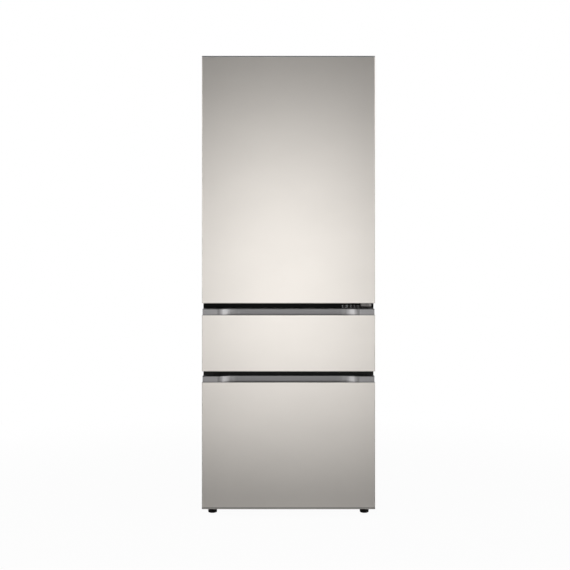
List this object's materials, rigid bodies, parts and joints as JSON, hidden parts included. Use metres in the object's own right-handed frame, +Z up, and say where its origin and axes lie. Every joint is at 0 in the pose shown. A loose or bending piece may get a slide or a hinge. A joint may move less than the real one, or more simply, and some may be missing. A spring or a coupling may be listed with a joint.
{
  "type": "kimchi refrigerator",
  "caption": "Free-standing kimchi refrigerator with a hinged upper door over two pull-out drawers, satin metal fronts, recessed handle strips and lidded tubs inside.",
  "frame": {"origin": "on the floor, under the middle of the object's bounding box", "axes": "+Z up, the door and drawer fronts face -Y, +X is to the right of someone facing the front"},
  "size_m": [0.695, 0.697, 1.85],
  "materials": {
    "front_metal": "satin, faint brushing, warm grey-beige",
    "cabinet_metal": "satin pre-coated steel, fine grain",
    "zinc_steel": "bare galvanised steel",
    "handle_metal": "brushed along its length",
    "hinge_steel": "satin grey-brown coating",
    "black_plastic": "matt fine-textured",
    "black_gloss": "high gloss",
    "white_liner": "satin vacuum-formed",
    "foam": "closed-cell foam",
    "gasket_rubber": "soft matt",
    "compressor_black": "semi-gloss paint",
    "clear_plastic": "clear, slightly frosted",
    "tub_plastic": "ivory, satin",
    "lid_plastic": "grey, satin"
  },
  "bodies": {
    "root": {"cabinet_shell": "cabinet_metal", "insulation_foam": "foam", "upper_liner": "white_liner", "middle_liner": "white_liner", "lower_liner": "white_liner", "back_panel": "zinc_steel", "base_plate": "zinc_steel", "machine_cover": "zinc_steel", "upper_mullion": "cabinet_metal", "lower_mullion": "black_plastic", "control_panel": "black_gloss", "top_hinge": "hinge_steel", "hinge_cover": "black_plastic", "middle_hinge": "hinge_steel", "compressor": "compressor_black", "fan_bracket": "zinc_steel", "shelf_1": "clear_plastic", "shelf_2": "clear_plastic", "middle_rail_left": "zinc_steel", "middle_rail_right": "zinc_steel", "lower_rail_left": "zinc_steel", "lower_rail_right": "zinc_steel", "tub_1": "tub_plastic", "tub_2": "tub_plastic"},
    "upper_door": {"upper_door_skin": "front_metal", "upper_door_liner": "white_liner", "upper_door_top_cap": "black_plastic", "upper_door_bottom_cap": "black_plastic", "upper_door_gasket": "gasket_rubber", "door_bin_1": "clear_plastic", "door_bin_2": "clear_plastic"},
    "middle_drawer": {"middle_drawer_skin": "front_metal", "middle_drawer_liner": "white_liner", "middle_drawer_gasket": "gasket_rubber", "middle_drawer_handle": "handle_metal", "middle_drawer_frame": "zinc_steel", "middle_drawer_box": "white_liner", "tub_3": "tub_plastic"},
    "lower_drawer": {"lower_drawer_skin": "front_metal", "lower_drawer_liner": "white_liner", "lower_drawer_gasket": "gasket_rubber", "lower_drawer_handle": "handle_metal", "lower_drawer_frame": "zinc_steel", "lower_drawer_box": "white_liner", "tub_4": "tub_plastic", "tub_5": "tub_plastic"},
    "middle_slide_left": {"middle_slide_left": "zinc_steel"},
    "middle_slide_right": {"middle_slide_right": "zinc_steel"},
    "lower_slide_left": {"lower_slide_left": "zinc_steel"},
    "lower_slide_right": {"lower_slide_right": "zinc_steel"},
    "foot_left": {"foot_left": "black_plastic"},
    "foot_right": {"foot_right": "black_plastic"},
    "roller_left": {"roller_left": "black_plastic"},
    "roller_right": {"roller_right": "black_plastic"},
    "cooling_fan": {"cooling_fan": "black_plastic"},
    "lid_1": {"lid_1": "lid_plastic"},
    "lid_2": {"lid_2": "lid_plastic"},
    "lid_3": {"lid_3": "lid_plastic"},
    "lid_4": {"lid_4": "lid_plastic"},
    "lid_5": {"lid_5": "lid_plastic"}
  },
  "joints": [
    {"name": "upper_door_hinge", "type": "hinge", "parent": "root", "child": "upper_door", "pos_m": [0.318, -0.3145, 0.859], "axis": [0, 0, 1], "range_deg": [0, 110]},
    {"name": "middle_drawer_pull", "type": "slide", "parent": "root", "child": "middle_drawer", "axis": [0, -1, 0], "range_m": [0, 0.42]},
    {"name": "lower_drawer_pull", "type": "slide", "parent": "root", "child": "lower_drawer", "axis": [0, -1, 0], "range_m": [0, 0.33]},
    {"name": "middle_slide_left_travel", "type": "slide", "parent": "root", "child": "middle_slide_left", "axis": [0, -1, 0], "range_m": [0, 0.21]},
    {"name": "middle_slide_right_travel", "type": "slide", "parent": "root", "child": "middle_slide_right", "axis": [0, -1, 0], "range_m": [0, 0.21]},
    {"name": "lower_slide_left_travel", "type": "slide", "parent": "root", "child": "lower_slide_left", "axis": [0, -1, 0], "range_m": [0, 0.165]},
    {"name": "lower_slide_right_travel", "type": "slide", "parent": "root", "child": "lower_slide_right", "axis": [0, -1, 0], "range_m": [0, 0.165]},
    {"name": "foot_left_turn", "type": "hinge", "parent": "root", "child": "foot_left", "pos_m": [-0.311, -0.2505, 0], "axis": [0, 0, 1], "continuous": true},
    {"name": "foot_right_turn", "type": "hinge", "parent": "root", "child": "foot_right", "pos_m": [0.311, -0.2505, 0], "axis": [0, 0, 1], "continuous": true},
    {"name": "roller_left_roll", "type": "hinge", "parent": "root", "child": "roller_left", "pos_m": [-0.29, 0.2975, 0.015], "axis": [1, 0, 0], "continuous": true},
    {"name": "roller_right_roll", "type": "hinge", "parent": "root", "child": "roller_right", "pos_m": [0.29, 0.2975, 0.015], "axis": [1, 0, 0], "continuous": true},
    {"name": "cooling_fan_spin", "type": "hinge", "parent": "root", "child": "cooling_fan", "pos_m": [0.01, 0.2475, 0.1455], "axis": [1, 0, 0], "continuous": true},
    {"name": "lid_1_lift", "type": "slide", "parent": "root", "child": "lid_1", "axis": [0, 0, 1], "range_m": [0, 0.06]},
    {"name": "lid_2_lift", "type": "slide", "parent": "root", "child": "lid_2", "axis": [0, 0, 1], "range_m": [0, 0.06]},
    {"name": "lid_3_lift", "type": "slide", "parent": "middle_drawer", "child": "lid_3", "axis": [0, 0, 1], "range_m": [0, 0.015]},
    {"name": "lid_4_lift", "type": "slide", "parent": "lower_drawer", "child": "lid_4", "axis": [0, 0, 1], "range_m": [0, 0.055]},
    {"name": "lid_5_lift", "type": "slide", "parent": "lower_drawer", "child": "lid_5", "axis": [0, 0, 1], "range_m": [0, 0.055]}
  ],
  "couplings": [
    {"joint": "middle_slide_left_travel", "follows": "middle_drawer_pull", "ratio": 0.5},
    {"joint": "middle_slide_right_travel", "follows": "middle_drawer_pull", "ratio": 0.5},
    {"joint": "lower_slide_left_travel", "follows": "lower_drawer_pull", "ratio": 0.5},
    {"joint": "lower_slide_right_travel", "follows": "lower_drawer_pull", "ratio": 0.5}
  ]
}
